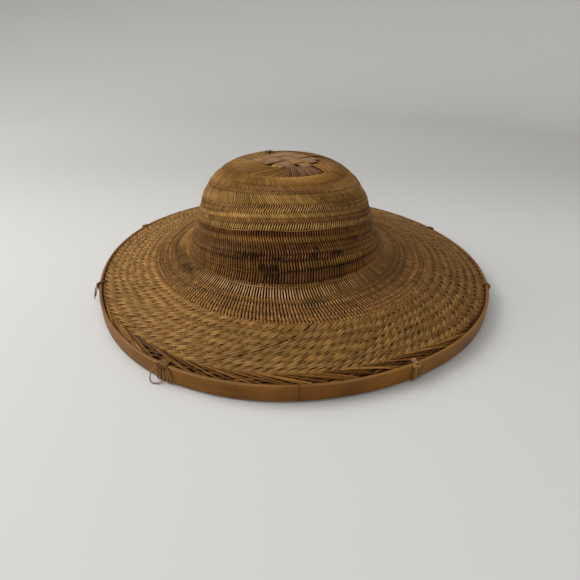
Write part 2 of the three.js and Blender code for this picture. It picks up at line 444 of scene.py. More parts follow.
# Bends flat strands along their route. A route gives angle, along and out for each number and share.
def bendStrands(strand, flat, route, width, depth, surface=onHat):
    number, share = flat["number"], flat["share"]
    angle, along, out = route(number, share)
    small = 1e-3
    aheadAngle, aheadAlong, _ = route(number, share + small)
    behindAngle, behindAlong, _ = route(number, share - small)
    radius = along if surface is onRim else np.maximum(wallValue("radius", along), 1)
    goRound = (aheadAngle - behindAngle) * radius
    goAlong = aheadAlong - behindAlong
    length = np.maximum(np.hypot(goRound, goAlong), 1e-9)
    side = flat["across"] * width
    turned = angle - side * goAlong / length / radius
    moved = along + side * goRound / length
    movePoints(strand, surface(turned, moved, out + flat["up"] * depth))
    mapGrain(strand, share * 100 + number * 17.3, side + number * 5.7)  # each strand on its own grain
    return angle, along


# Stains and patches that the weave has got with use, and a few broad dark patches on the right that are
# painted shade: angle, millimetres along, degrees that it reaches round, millimetres that it reaches along,
# shade and strength
patches = [
    (-60, 62, 26, 7, "#694420", 0.5),
    (-146, 161, 7, 3.6, "#4a2b22", 0.85),
    (-166, 152, 10, 5, "#a67839", 0.7),
    (-107, 137, 8, 2.2, "#180d05", 0.75),
    (-98, 143.5, 7, 1.8, "#120803", 0.9),
    (-93, 138.5, 3, 1.5, "#180d05", 0.8),
    (-96, 147, 4, 1.5, "#180d05", 0.7),
    (-74, 136, 2.2, 2.4, "#180d05", 0.85),
    (-73, 131, 1.6, 1.6, "#180d05", 0.8),
    (-61, 136, 4.5, 2.4, "#180d05", 0.85),
    (-45, 126, 5, 2.4, "#26201a", 0.7),
    (-79, 167, 6, 5, "#3f3923", 0.5),
    (-15, 155, 9, 5, "#6e5623", 0.5),
    (-89, 86, 20, 9, "#b58b4c", 0.65),
    # painted shade on the right side of the crown
    (-50, 86, 15, 9, "#5e381a", 0.4),
    (-64, 86, 3.2, 6, "#4a2a14", 0.5),
    (-102, 53, 28, 5, "#a87f40", 0.35),
    (-72, 57, 9, 4, "#a87f40", 0.45),
    (-155, 57, 32, 10, "#684720", 0.5),
    (-154, 79, 22, 4.5, "#684720", 0.5),
    (-44, 60, 18, 8, "#694420", 0.45),
    # painted shade on the right side of the crown
    (-36, 105, 34, 20, "#5d3f1d", 0.55),
    # painted shade on the right side of the brim
    (-42, 160, 34, 9, "#5f4320", 0.5),
    (-86, 139, 38, 13, "#3d230c", 0.2),
    (-78, 77, 16, 2.2, "#643a1e", 0.5),
    (-70, 70, 24, 6, "#75481f", 0.35),
    (-106, 157, 26, 6.5, "#cfa878", 0.45),
    (-152, 112, 27, 17, "#573d1b", 0.35),
    (-132, 178, 22, 15, "#ad7f45", 0.25),
    (-125, 146, 30, 5, "#94692f", 0.3),
]
chance = np.random.default_rng(11)
for _ in range(26):
    place = chance.uniform(0, 175), chance.uniform(70, 175)
    reach = chance.uniform(2, 12), chance.uniform(1.5, 5)
    shade = chance.choice(["#180d05", "#512e1b", "#996b32", "#351c09"])
    patches.append((*place, *reach, shade, chance.uniform(0.3, 0.8)))
smallPatch = 3  # millimetres along, below which a stain has crisp edges
darkest = 0.004


def addPatches(colours, angle, along):
    made = colours.copy()
    for turned, place, wide, tall, shade, strength in patches:
        turn = (np.degrees(angle) - turned + 180) % 360 - 180
        far = (turn / wide) ** 2 + ((along - place) / tall) ** 2
        ragged = 0.25 * np.sin(turn * 2.1 + along) + 0.25 * np.sin(along * 3.3 - turn * 0.9)
        # Small stains have broken edges too, and broad tints fade out.
        reach = (1 + 1.6 * ragged - far) * 3 if tall < smallPatch else 1.3 + ragged - far
        made += (np.array(linearOf(shade)) - made) * (strength * np.clip(reach, 0, 1))[:, None]
    return made


def paintWorn(piece, shades, angle, along, tone=1):
    paint(piece, np.clip(addPatches(shades, angle, along) * tone, darkest, 1))


# Rows of ribs. Each row ends at "to", leans by a number of strand spacings, and has its own width and shade.
# Its parts say how far the rib stands out at shares of the row.
evenRow = ((0, -0.75), (0.2, 0.45), (0.5, 1), (0.8, 0.45))


def rowStops(rows, start):
    stops = []
    begin, leaned = start, 0.0
    for i, row in enumerate(rows):
        for share, rise in row.get("parts", evenRow):
            wide = row["wide"] * (0.8 + 0.2 * max(rise, 0))
            stops.append((begin + (row["to"] - begin) * share, leaned + row["lean"] * share, rise, wide, i))
        begin, leaned = row["to"], leaned + row["lean"]
    last = rows[-1]
    stops.append((begin, leaned, last.get("endRise", -1), last["wide"], len(rows) - 1))
    names = ("along", "lean", "rise", "wide", "row")
    return {name: np.array(values) for name, values in zip(names, zip(*stops))}


# The rows differ most at the front. Towards the sides they fade to one even tone.
def fadeRows(settings, rows, shades, which, angle):
    faded = sideShare(angle, 34, 68)[:, None] * settings["fadeStrength"]
    even = shadesOf(row.get("fade", settings["fade"]) for row in rows)[which]
    return shades[which] + (even - shades[which]) * faded


# How far strands stray at shares of their length, between the steps where it is given
def strayed(wander, number, share):
    k = share * (wander.shape[1] - 1)
    low = np.clip(np.floor(k).astype(int), 0, wander.shape[1] - 2)
    return wander[number, low] * (1 - (k - low)) + wander[number, low + 1] * (k - low)


# Thin wefts that cross the ribs where one row ends and the next begins
wefts = {
    "sides": 5,
    "steps": 240,
    "depth": 0.8,
    "level": -0.62,
    "rise": 0.6,  # how much it comes out for each millimetre that it strays
    "wander": 0.18,
    "waves": 0.35,
    "streaks": 0.22,
}


def layWefts(name, ribs, settings, material, slot):
    rows = [row for row in ribs["rows"] if "weft" in row]
    count, steps = len(rows), settings["steps"]
    strand, flat = flatStrands(name, count, settings["sides"], steps)
    rng = np.random.default_rng(ribs["seed"] + 100)
    wander = rng.normal(0, settings["wander"], (count, steps + 1))
    turns = np.linspace(0, 2 * math.pi, steps + 1) * rng.integers(3, 9, (count, 1))
    wander += settings["waves"] * np.sin(turns)
    wander[:, -1] = wander[:, 0]
    places = np.array([row["to"] for row in rows])

    def route(number, share):
        loose = strayed(wander, number, share % 1)
        angle = share * 2 * math.pi + math.pi / 2
        return angle, drifted(angle, places[number] + loose), settings["level"] + loose * settings["rise"]

    width = np.array([row["weft"][1] for row in rows])[flat["number"]]
    angle, along = bendStrands(strand, flat, route, width, settings["depth"])
    shades = shadesOf(row["weft"][0] for row in rows)
    shades = fadeRows(ribs, rows, shades, flat["number"], angle)
    paintWorn(strand, streaked(shades, angle, along, settings["streaks"]), angle, along)
    finishPiece(strand, material, slot)


# Petals at the top: each side of the crossed splints sweeps out as one fan that laps over the next.
def petalOf(petals, angle):
    turned = np.degrees(angle) % 360
    edges = np.array([p["from"] for p in petals])
    which = np.searchsorted(edges, turned, side="right") - 1
    which = np.where(which < 0, len(petals) - 1, which)
    begin = edges[which]
    end = np.append(edges[1:], edges[0] + 360)[which]
    share = ((turned - begin) % 360) / (end - begin)
    return which, begin, end, share


def gatherPetals(petals, angle, along):
    which, begin, end, share = petalOf(petals, angle)
    pinch, leans, raised, reach = (
        np.array([p[name] for p in petals])[which] for name in ("pinch", "lean", "raised", "reach")
    )
    near = np.clip((50 - along) / 26, 0, 1)
    middle = np.radians((begin + end) / 2)
    turn = (angle - middle + math.pi) % (2 * math.pi) - math.pi
    lean = np.radians(leans[:, 0] + (leans[:, 1] - leans[:, 0]) * share)
    lift = np.interp(along, [24, 34, 46, 52], [0.6, 1, 0.8, 0.15])
    reach = reach * np.clip((along - 40) / 10, 0, 1)
    return angle - turn * pinch * near - lean * near, along + reach, raised * lift * (1 - share) ** 1.5


def petalShade(petals, shades, angle, along):
    which, _, _, share = petalOf(petals, angle)
    shade = shadesOf(p["shade"] for p in petals)[which]
    strength = np.clip((58 - along) / 4, 0, 1)[:, None]
    return shades + (shade * (0.75 + 0.35 * (1 - share[:, None])) - shades) * strength


def weaveRibs(name, settings, material, slot):
    rows, count = settings["rows"], settings["count"]
    stops = rowStops(rows, settings["start"])
    steps = len(stops["along"]) - 1
    strand, flat = flatStrands(name, count, settings["sides"], steps)
    number = flat["number"]
    rng = np.random.default_rng(settings["seed"])
    wander = rng.normal(0, settings["wander"], (count, steps + 1))
    pitch = 2 * math.pi / count

    def route(number, share):
        lean, rise, along = (
            np.interp(share * steps, np.arange(steps + 1), stops[what]) for what in ("lean", "rise", "along")
        )
        angle = (number + lean + strayed(wander, number, share)) * pitch
        out = settings["level"] + settings["rise"] * rise
        if "petals" in settings:
            angle, along, raised = gatherPetals(settings["petals"], angle, along)
            out = out + raised
        return angle, drifted(angle, along), out

    k = np.clip(np.round(flat["share"] * steps).astype(int), 0, steps)
    row = stops["row"][k]
    body = rng.uniform(*settings["widthRange"], (count, len(rows)))[number, row]
    width = stops["wide"][k] * body * wallValue("radius", stops["along"][k]) * pitch
    angle, along = bendStrands(strand, flat, route, width, settings["depth"])
    shades = shadesOf(r["shade"] for r in rows)
    shades = streaked(fadeRows(settings, rows, shades, row, angle), angle, along)
    if "petals" in settings:
        shades = petalShade(settings["petals"], shades, number * pitch, along)
        clump = np.array(settings["clump"])[number % len(settings["clump"])]
        shades = shades * (1 + (clump - 1) * np.clip((60 - along) / 8, 0, 1))[:, None]
    # Each row was woven from a few batches of strands, and no two batches have quite the same tone.
    batches = len(rows), settings["batches"]
    ends = np.sort(rng.uniform(0, count, batches), 1)
    batch = (number[:, None] > ends[row]).sum(1) % settings["batches"]
    batchTone = rng.normal(1, settings["batchSpread"], batches)[row, batch]
    tone = 1 + rng.normal(0, settings["toneSpread"], (count, len(rows)))[number, row]
    paintWorn(strand, shades, angle, along, (tone * batchTone)[:, None])
    finishPiece(strand, material, slot)


# Twill of the outer brim: two sets of flat strands that pass over and under each other in rings.
# The ring places are where the first set lies on top.
twill = {
    "count": 148,
    "rings": [185.2, 193.2, 201.3, 209.5, 216.7, 224.3, 231.2, 237.8, 244.2],
    "firstRing": -1,
    "from": -0.42,
    "to": 6.55,
    "steps": 56,
    "sides": 8,
    "flatness": 0.6,
    "betweenUp": 0.2,  # a strand is two splints side by side, with a fine dark line between them
    # painted shade: the groove between the two splints is darkened to this share
    "paintedGrooveShade": 0.55,
    "turns": 1.8,  # strand spacings that a strand moves round from one ring to the next
    "firstWidth": 4.0,
    "secondWidth": 3.6,
    "widthRange": (0.88, 1.1),
    "astray": 0.09,  # strand spacings
    "ringAstray": 0.13,  # share of a ring, alike in strands that lie side by side
    "liftRange": (0.55, 1.25),
    "depth": 1.0,
    "level": -0.85,
    "rise": 0.5,
    "bias": (0.58, 0.12),  # how much the first set shows more than the second, at the left and the right
    "ringWander": [(3, 1.1, 40), (5, 0.8, 130), (8, 0.5, 10)],  # count round, millimetres, angle
    "reachAtSides": 4.0,
    "toneSpread": 0.1,
    "overShade": "#8e6632",
    "underShade": "#825928",
    # painted highlight on the crest of each strand
    "paintedHighlightShade": "#ab8550",
}


def weaveTwill(name, settings, side, shade, seed, material, slot):
    count, steps = settings["count"], settings["steps"]
    strand, flat = flatStrands(name, count, settings["sides"], steps)
    flat["up"] = np.sign(flat["up"]) * 0.5 * np.abs(2 * flat["up"]) ** settings["flatness"]
    between = (np.abs(flat["across"]) < 0.1) & (flat["up"] > 0)
    flat["up"][between] = settings["betweenUp"]
    rng = np.random.default_rng(seed)
    rings = len(settings["rings"])
    body = rng.uniform(*settings["widthRange"], count)
    shiftAway = rng.normal(0, settings["astray"], count)
    ringAway = np.convolve(rng.normal(0, settings["ringAstray"], count + 4), np.ones(5) / 2.2, "valid")
    lifted = rng.uniform(*settings["liftRange"], (count, rings + 1))
    grainTone = rng.normal(1, settings["toneSpread"], (count, rings + 1))
    pitch = 2 * math.pi / count
    ringNumber = np.arange(rings) + settings["firstRing"]

    def ringOf(number, share):
        ring = settings["from"] + (settings["to"] - settings["from"]) * share
        return ring + ringAway[number] * np.sin(math.pi * np.clip(share, 0, 1))

    def waveOf(number, ring, angle):
        nearest = np.clip(np.round(ring - settings["firstRing"]).astype(int), 0, rings)
        bias = np.interp(np.cos(angle), [0.1, 0.7], settings["bias"])
        wave = side * (np.cos(2 * math.pi * ring) + bias)
        return wave * np.where(wave * side > 0, lifted[number, nearest], 1), nearest

    def route(number, share):
        ring = settings["from"] + (settings["to"] - settings["from"]) * share
        along = np.interp(ring, ringNumber, settings["rings"])
        offset = 0 if side > 0 else 0.5
        angle = (number + offset + shiftAway[number] - settings["turns"] * side * ring) * pitch
        middle = np.clip((along - 190) / 8, 0, 1) * np.clip((238 - along) / 8, 0, 1)
        for turns, size, place in settings["ringWander"]:
            along = along + middle * size * np.cos(turns * (angle - math.radians(place)))
        edge = np.clip((along - 226) / 15, 0, 1) * sideShare(angle)
        wave, _ = waveOf(number, ringOf(number, share), angle)
        along = along + settings["reachAtSides"] * edge
        return angle, along, settings["level"] + settings["rise"] * wave - edgeSag(angle, along)

    width = settings["firstWidth" if side > 0 else "secondWidth"] * body[flat["number"]]
    angle, along = bendStrands(strand, flat, route, width, settings["depth"])
    wave, nearest = waveOf(flat["number"], ringOf(flat["number"], flat["share"]), angle)
    # Painted shade and highlight: each strand is darker where it dips under the other set and paler where it
    # rides over it, and the difference is smaller on the right.
    depth = np.interp(wave, [-1, -0.5, 0.2, 1.5], [0.3, 0.56, 0.93, 1.1])
    depth = depth + (1 - depth) * np.interp(np.cos(angle), [0.1, 0.7], [0, 0.35])
    # painted shade on the front and the right of the brim
    tone = grainTone[flat["number"], nearest] * depth * paintedSideShade(angle)
    # painted shade in the groove between the two splints
    tone = tone * np.where(between, settings["paintedGrooveShade"], 1.1)
    # A painted highlight on the crest of each strand
    crestHighlight = smoothStep(wave, 0.6, 1.5)[:, None] * 0.4
    shades = np.array(linearOf(shade)) * (1 - crestHighlight) + np.array(linearOf(settings["paintedHighlightShade"])) * crestHighlight
    shades = streaked(shades, angle, along, 0.05, 0.012)
    paintWorn(strand, shades, angle, along, tone[:, None])
    finishPiece(strand, material, slot)


# Ground of the weave: the crossed strands deep between the ribs, a thin sheet in the middle of the wall.
# Its outer face is painted near black, as painted shade deep between the ribs, and its inner face is what
# shows inside the hat.
groundSheet = {"level": -0.95, "thickness": 0.3, "inside": "#8f6c3e"}
grounds = {
    "crown": {"from": 0, "to": 149.3, "round": 120, "steps": 48, "ribs": 246, "shade": "#241104"},
    "inner_brim": {"from": 149.5, "to": 190, "round": 120, "steps": 16, "ribs": 280, "shade": "#291405"},
    "outer_brim": {"from": 190.2, "to": 243, "round": 144, "steps": 20, "ribs": 296, "shade": "#4d2b0f"},
}


def layGround(node, settings, material, slot):
    clearSelection()
    cells = {"x_subdivisions": settings["round"], "y_subdivisions": settings["steps"]}
    bpy.ops.mesh.primitive_grid_add(size=1, **cells)
    sheet = called(node + "_ground")
    x, y, _ = points(sheet).T
    angle = (x + 0.5) * 2 * math.pi
    along = settings["from"] + (y + 0.5) * (settings["to"] - settings["from"])
    movePoints(sheet, onHat(angle, along, groundSheet["level"] - edgeSag(angle, along)))
    mapGrain(sheet, along, (x + 0.5) * settings["ribs"])
    tidyMesh(sheet, merge=0.02 * mm)
    applyModifier(sheet, "SOLIDIFY", thickness=groundSheet["thickness"] * mm, offset=0)
    normals = np.empty(len(sheet.data.vertices) * 3)
    sheet.data.vertices.foreach_get("normal", normals)
    place = points(sheet)
    below = np.array([0, 0, -0.1])
    outside = ((place - below) * normals.reshape(-1, 3)).sum(1) > 0
    angle = np.arctan2(place[:, 1], place[:, 0])
    inner = streaked(np.tile(linearOf(groundSheet["inside"]), (len(angle), 1)), angle, place[:, 2] / mm, 0.12)
    # The outer face takes the painted shade, and the inner face the weave's own colour.
    paint(sheet, np.where(outside[:, None], np.array(linearOf(settings["shade"])), inner))
    finishPiece(sheet, material, slot, node)


# Bent hoop: a rounded strip section spun round, then pressed into the rim's lobes
def bendHoop(name, settings, material, slot, replaced):
    outer, thick = settings["radius"], settings["thickness"]
    low, high = settings["bottom"], settings["top"]
    clearSelection()
    bpy.ops.mesh.primitive_plane_add(size=1)
    hoop = called(name)
    middle = outer - thick / 2, (low + high) / 2
    spinSection((thick, high - low), *middle, settings["steps"], settings["edge"])
    x, y, z = points(hoop).T
    radius, angle = np.hypot(x, y), np.arctan2(y, x)
    rng = np.random.default_rng(settings["seed"])
    waves = sum(
        rng.uniform(0.3, 1) * np.sin(angle * rng.integers(2, 19) + rng.uniform(0, 6)) for _ in range(7)
    )
    height = low + (z - low) * (1 + settings["uneven"] * waves / 6)
    movePoints(hoop, settle(radius, height, 0, angle))
    tidyMesh(hoop, merge=0.01 * mm)
    place = points(hoop)
    mapGrain(hoop, np.arctan2(place[:, 1], place[:, 0]) * outer, place[:, 2] / mm)
    finishPiece(hoop, material, slot, replaced)


# Bamboo strip, planed and bent over heat: tan-brown skin with fine lengthwise fibres, worn pale on its upper
# edge, with a painted highlight there, and painted shade along its lower edge.
def hoopMaterial(name, pale, middle, dark, paintedLightAndWear, top, node):
    material, tree = newMaterial(name)
    place = addNode(tree, "TexCoord").outputs["Object"]
    # Fibres are about 0.3 mm apart, drawn at 0.8 mm so that they show.
    stretched = addNode(tree, "Mapping", {"Vector": place, "Scale": (4, 4, 900)})
    fibres = addNode(tree, "TexNoise", {"Vector": stretched, "Scale": 1.6, "Detail": 5, "Roughness": 0.6})
    blotches = addNode(tree, "TexNoise", {"Vector": place, "Scale": 16, "Detail": 4, "Roughness": 0.6})
    mixed = addNode(tree, "Math", {0: fibres, 1: 0.45, 2: blotches}, operation="MULTIPLY_ADD")
    colour = addNode(tree, "ValToRGB", {0: mixed}, [(0.5, dark), (0.95, pale), (0.72, middle)])
    split = addNode(tree, "SeparateXYZ", {0: place})
    height = split.outputs["Z"]
    turn = addNode(tree, "Math", {0: split.outputs["Y"], 1: split.outputs["X"]}, operation="ARCTAN2")
    fromNode = addNode(tree, "Math", {0: turn, 1: math.radians(node)}, operation="SUBTRACT")
    away = addNode(tree, "Math", {0: fromNode, 1: math.pi / 4}, operation="PINGPONG")
    # What lies over the skin, by height or by distance from a node: where it begins and ends, its strength
    # there, and its shade. The upper edge is worn pale, with a painted highlight, and the lower one is
    # darkened with painted shade, where it rounds under and meets the floor. Round each node the strip is
    # scorched redder, with the node itself a thin dark line across it.
    for value, begin, end, first, last, shade in (
        # wear and a painted highlight on the upper edge
        (height, (top - 1.8) * mm, (top - 0.5) * mm, 0, 0.42, paintedLightAndWear),
        # painted shade along the lower edge
        (height, 0.4 * mm, 1.9 * mm, 0.8, 0, "#1c0f05"),
        (away, math.radians(1), math.radians(8), 0.5, 0, "#66360f"),
        (away, math.radians(0.15), math.radians(0.5), 0.4, 0, "#2a1405"),
    ):
        share = addNode(tree, "MapRange", {0: value, 1: begin, 2: end, 3: first, 4: last}, **smooth)
        shades = {"Factor": share, 6: colour, 7: (*linearOf(shade), 1)}
        colour = addNode(tree, "Mix", shades, data_type="RGBA").outputs[2]
    gloss = addNode(tree, "MapRange", {0: blotches, **noiseSpan, 3: 0.54, 4: 0.42})
    bump = addNode(tree, "Bump", {"Height": fibres, "Distance": 0.08 * mm, "Strength": 0.5})
    look = {"Base Color": colour, "Roughness": gloss, "Normal": bump}
    finishMaterial(tree, {**look, "IOR": 1.52, "Specular IOR Level": 0.2})
    return material


# Border: the ends of the strands folded over at the edge, long and low, each one lying on the next
border = {
    "count": 300,  # half of them go one way round and half the other
    "sides": 6,
    "steps": 24,
    "span": 14,  # degrees of the rim that one strand runs
    "across": [188.6, 190.8, 192.9, 195, 196.9],
    "height": [18.1, 18.3, 17.8, 16.6, 14.6],
    "over": 0.5,  # millimetres that one half lies above the middle, and the other below it
    "inAtSides": 5.4,  # millimetres further out that the strands start at the sides, where the weave is wider
    "lowAtSides": 4.6,
    "tucked": 1.6,  # millimetres that a strand's first end goes down into the weave
    "tuckedShare": 0.12,
    "astray": 0.25,  # strand spacings
    "spanRange": (0.8, 1.2),
    "liftRange": (-0.4, 0.5),
    "width": 1.5,
    "widthRange": (0.8, 1.25),
    "depth": 0.85,
    "toneRange": (0.4, 1.2),
    # The first three shades are for the half that lies above, and the last three, redder and darker, for the
    # half below: the darkness is painted shade in the lines between the upper strands.
    "shades": ["#7e5525", "#8e632d", "#6e461f", "#7c4f24", "#683f1c", "#85582c"],
    "seed": 5,
}
borderCore = {
    "radius": 190.4,
    "height": 13.6,
    "wide": 8,
    "tall": 4.4,
    "sides": 12,
    "steps": 180,
    "grainRadius": 190,
    "shade": "#4a2b12",
}


# Core of the border: the bundle that the folded strands are laid over
def rollCore(settings, material, slot, replaced):
    clearSelection()
    bpy.ops.mesh.primitive_circle_add(vertices=settings["sides"], radius=0.5, fill_type="NOTHING")
    core = called("edge_border_core")
    size = settings["wide"], settings["tall"]
    spinSection(size, settings["radius"], settings["height"], settings["steps"])
    x, y, z = points(core).T
    movePoints(core, settle(np.hypot(x, y), z, 0, np.arctan2(y, x)))
    tidyMesh(core, merge=0.01 * mm)
    x, y, z = points(core).T / mm
    angle = np.arctan2(y, x)
    shade = np.tile(np.array(linearOf(settings["shade"])), (len(z), 1))
    paint(core, streaked(shade, angle, z, 0.2, 0.05))
    mapGrain(core, angle * settings["grainRadius"], z)
    finishPiece(core, material, slot, replaced)


def foldBorder(settings, material, slot):
    count = settings["count"]
    strand, flat = flatStrands("edge_border_strands", count, settings["sides"], settings["steps"])
    rng = np.random.default_rng(settings["seed"])
    start = rng.normal(0, settings["astray"], count)
    span = math.radians(settings["span"]) * rng.uniform(*settings["spanRange"], count)
    lifted = rng.uniform(*settings["liftRange"], count)
    way = np.where(np.arange(count) % 2, -1, 1)
    shares = np.linspace(0, 1, len(settings["across"]))

    def route(number, share):
        angle = (number + start[number]) * 2 * math.pi / count + way[number] * span[number] * share
        radius = np.interp(share, shares, settings["across"])
        radius = radius + settings["inAtSides"] * sideShare(angle) * (1 - share)
        tucked = settings["tucked"] * np.clip(1 - share / settings["tuckedShare"], 0, 1)
        height = np.interp(share, shares, settings["height"]) + lifted[number] * np.sin(math.pi * share)
        height = height - tucked - settings["lowAtSides"] * sideShare(angle)
        return angle, radius, height + settings["over"] * way[number]

    number = flat["number"]
    body = rng.uniform(*settings["widthRange"], count)[number]
    bendStrands(strand, flat, route, settings["width"] * body, settings["depth"], onRim)
    shades = shadesOf(settings["shades"])[rng.integers(0, 3, count) + (way < 0) * 3][number]
    paint(strand, shades * rng.uniform(*settings["toneRange"], count)[number][:, None])
    finishPiece(strand, material, slot)


# Broad splints crossed over and under each other on the crown's top, thin and a little curled
topSplints = {
    "pitch": 13.2,
    "widths": [(13.8, 14.2, 12.6), (13.0, 14.4, 13.2)],  # millimetres, for each of the two directions
    "skews": [(4, -3, 2), (-4, 3, -2)],
    "ends": [(0, 0.9, 0), (0, 0, 1.0)],  # how far a strip's end stands up, where it isn't tucked in
    "tucked": 6.5,
    "length": 53,
    "thickness": 0.45,
    "turns": (38, -48),
    "centre": (2, 1),
    "level": 0.75,
    "weave": 0.4,
    "curl": 0.3,
    "steps": 30,
    "acrossSteps": 4,
    "seed": 61,
    "shades": ["#8a6846", "#94714d", "#7e5e42", "#8c673f", "#856445"],
}


def onCrownTop(x, y, out):
    reach = np.hypot(x, y)
    along = np.interp(reach, wall["radius"], wall["along"])
    return onHat(np.arctan2(y, x), along, out)


def layTopSplints(settings, material, slot, replaced):
    rng = np.random.default_rng(settings["seed"])
    strips = []
    pitch = settings["pitch"]
    for direction in (0, 1):
        turn = math.radians(settings["turns"][direction])
        widths = settings["widths"][direction]
        for i, breadth in enumerate(widths):
            clearSelection()
            cells = {"x_subdivisions": settings["steps"], "y_subdivisions": settings["acrossSteps"]}
            bpy.ops.mesh.primitive_grid_add(size=1, **cells)
            strip = bpy.context.object
            u, v, _ = points(strip).T
            side = (i - (len(widths) - 1) / 2) * pitch + rng.normal(0, 0.4)
            t = u * settings["length"] * rng.uniform(0.92, 1.08) + rng.normal(0, 1.5)
            skew = math.radians(settings["skews"][direction][i])
            a = side + v * breadth * (1 - 0.08 * np.abs(2 * u) ** 6) + t * math.sin(skew)
            over = (-1) ** (i + direction) * np.cos(math.pi * (t / pitch))
            curl = settings["curl"] * (4 * v * v) * rng.uniform(-0.4, 1)
            standing = settings["ends"][direction][i]
            lifted = standing * np.clip(2 * u - 0.55, 0, 1) * 2.2
            tucked = settings["tucked"] * np.clip(np.abs(2 * u) - 0.76, 0, 1) * (standing == 0)
            out = settings["level"] + settings["weave"] * over + curl + lifted - tucked
            x = settings["centre"][0] + t * math.cos(turn) - a * math.sin(turn)
            y = settings["centre"][1] + t * math.sin(turn) + a * math.cos(turn)
            movePoints(strip, onCrownTop(x, y, out))
            applyModifier(strip, "SOLIDIFY", thickness=settings["thickness"] * mm, offset=0)
            shade = np.array(linearOf(settings["shades"][rng.integers(0, len(settings["shades"]))]))
            # Painted shade: darker along its edges, where it meets the next strip, and where it goes under
            # the others, and paler where it goes over them
            edge = np.interp(np.abs(v), [0, 0.36, 0.5], [1, 1, 0.72])
            tone = np.concatenate([edge * (1 + 0.16 * over)] * 2)[:, None]
            paint(strip, np.clip(shade * tone, 0.01, 1))
            mapGrain(strip, np.concatenate([t + 40 * i] * 2), np.concatenate([a + 60 * direction] * 2))
            strips.append(strip)
    pick(*strips)
    bpy.ops.object.join()
    finishPiece(called("crossed_top_splints"), material, slot, replaced)


# Lashings: split rattan wound round both hoops and the border, knotted on the outside. Points of the winding
# are millimetres out of the hoop and up. Loose strands add a place along the hoop in the middle.
lashingShape = {
    "outline": [
        (0.4, 0.75), (1.1, 1.6), (1.25, 6), (1.25, 11.5), (1.0, 15.4), (-0.6, 16.8), (-3, 17.5),
        (-5.4, 17.4), (-6.6, 14.5), (-6.6, 8), (-6.2, 2.5), (-5, 0.8), (-3, 0.7),
    ],
    "hoopRadius": 200,
    "radius": 0.58,
    "turns": 3,
    "pitch": 1.4,
    "spread": (1, 1),  # how far the turns spread, low down and at the knot
    "toneRange": (0.7, 1.35),
    "loose": [],
    "seed": 71,
}
lashings = {
    "right": {"angle": -13.7, "pitch": 1.35, "shade": "#7a5a34", "knot": 14.6},
    "front_right": {
        "angle": -61,
        "pitch": 1.75,
        "radius": 0.5,
        "shade": "#8f6a41",
        "knot": 16.2,
        "knotShade": "#a07a45",
        "loose": [
            [(1.0, 2.6, 16.2), (1.6, 3.4, 13), (1.5, 3.6, 7), (1.1, 3.3, 2)],
            [(0.9, 4.2, 16), (1.5, 5.2, 12), (1.5, 5.4, 6), (1.0, 5.2, 1.6)],
            [(0.7, 6.0, 15.6), (1.5, 7.2, 12.5), (1.5, 7.6, 7), (1.0, 7.5, 3)],
        ],
    },
    "front_left": {
        "angle": -118,
        "turns": 4,
        "pitch": 2.5,
        "spread": (1.25, 0.8),
        "radius": 0.6,
        "shade": "#8c693c",
        "knotShade": "#4a3019",
        "knot": 15.6,
        "loose": [
            [
                (0.8, -3, 16), (3.4, -6.5, 12), (5.8, -8.6, 6),
                (6.8, -7.6, 1.2), (6, -3.5, 0.8), (2.6, 0.5, 1.4),
            ],
            [(1.0, 4.0, 16.4), (1.7, 5.2, 12), (1.6, 5.6, 6), (1.2, 3.6, 1.2)],
            [(1.0, 5.2, 16), (1.7, 7.4, 11), (1.6, 7.9, 5.5), (1.2, 5.5, 1.4)],
            [(1.0, -2.5, 16.2), (1.8, -4.6, 12), (1.7, -4.4, 6), (1.2, -1.5, 1.3)],
        ],
    },
    "left": {
        "angle": -161.6,
        "shade": "#5d3f22",
        "knot": 15.0,
        "loose": [
            [(0.8, 1.0, 16), (3.0, 2.2, 14), (5.2, 3.6, 8.5), (6.6, 4.6, 2.2)],
            [(0.8, 0, 15.5), (2.4, 1.2, 12), (4.4, 2.2, 7.5), (5.4, 3.0, 4)],
        ],
    },
    "back_left": {"angle": 156, "shade": "#6a4b2a", "knot": 15.4},
    "back_middle_left": {"angle": 113.5, "shade": "#6d4c28", "knot": 14.8},
    "back_middle_right": {"angle": 71, "shade": "#6a4b2a", "knot": 15.6},
    "back_right": {"angle": 28.3, "shade": "#5d3f22", "knot": 15.2},
}


# Axes on the hoop's outer face at an angle: out of the hoop, along it, and up
def hoopAxes(degrees, radius):
    angle = math.radians(degrees)
    near, here, far = settle(radius, 0, 0, np.array([angle - 0.01, angle, angle + 0.01]))
    along = Vector(far - near).normalized()
    up = Vector((0, 0, 1))
    return Matrix((along.cross(up), along, up)).transposed().to_4x4(), Vector(here)


def layStrand(name, route, radius, shade, closed=False):
    curve = bpy.data.curves.new(name, "CURVE")
    curve.dimensions = "3D"
    curve.bevel_depth = radius * mm
    curve.bevel_resolution = 1
    curve.resolution_u = 3
    curve.use_fill_caps = True
    spline = curve.splines.new("BEZIER")
    spline.bezier_points.add(len(route) - 1)
    for point, place in zip(spline.bezier_points, route):
        point.co = Vector(place) * mm
        point.handle_left_type = point.handle_right_type = "AUTO"
    spline.use_cyclic_u = closed
    strand = bpy.data.objects.new(name, curve)
    bpy.context.collection.objects.link(strand)
    pick(strand)
    bpy.ops.object.convert(target="MESH")
    strand = bpy.context.object
    places = points(strand) / mm
    paint(strand, np.tile(np.array(linearOf(shade)), (len(places), 1)))
    mapGrain(strand, places[:, 2] + places[:, 0], places[:, 1] * 2 + places[:, 0])
    return strand


